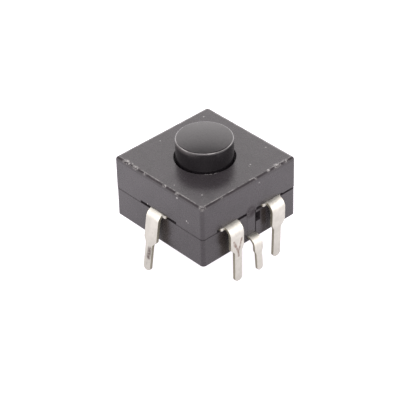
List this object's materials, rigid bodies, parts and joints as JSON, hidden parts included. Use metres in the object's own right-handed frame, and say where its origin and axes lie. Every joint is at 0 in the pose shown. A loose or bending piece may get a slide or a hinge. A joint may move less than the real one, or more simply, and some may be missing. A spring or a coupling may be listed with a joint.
{
  "type": "flashlight push switch",
  "caption": "Square black push switch for a flashlight: a round sprung button turns a ratchet rotor inside, and bent solder leads come out of the sides.",
  "frame": {"origin": "centre of the base's flat underside, the plane that seats on a circuit board", "axes": "+Z along the button, away from the board; +X towards the side that carries the pair of leads and the common lead"},
  "size_m": [0.0132, 0.0144, 0.0119],
  "materials": {
    "housing_plastic": "satin moulded black plastic",
    "button_plastic": "smooth moulded black plastic",
    "rotor_plastic": "natural white moulded plastic",
    "spring_steel": "drawn wire",
    "contact_bronze": "bright stamped sheet",
    "tinned_brass": "satin tin plating"
  },
  "bodies": {
    "housing": {"housing_base": "housing_plastic", "housing_cover": "housing_plastic", "terminal_left": "tinned_brass", "terminal_rear": "tinned_brass", "terminal_near_right": "tinned_brass", "terminal_far_right": "tinned_brass", "terminal_common": "tinned_brass", "return_spring": "spring_steel"},
    "button": {"push_button": "button_plastic"},
    "rotor": {"ratchet_rotor": "rotor_plastic", "moving_contact": "contact_bronze"}
  },
  "joints": [
    {"name": "button_press", "type": "slide", "parent": "housing", "child": "button", "axis": [0, 0, -1], "range_m": [0, 0.0015], "stiffness_N_per_m": 700, "springref_m": -0.002, "deforming": ["return_spring"]},
    {"name": "rotor_turn", "type": "hinge", "parent": "housing", "child": "rotor", "pos_m": [0, 0, 0], "axis": [0, 0, 1], "range_deg": [0, 45]}
  ],
  "couplings": [
    {"joint": "rotor_turn", "follows": "button_press", "rad_per_m": 523.5}
  ]
}
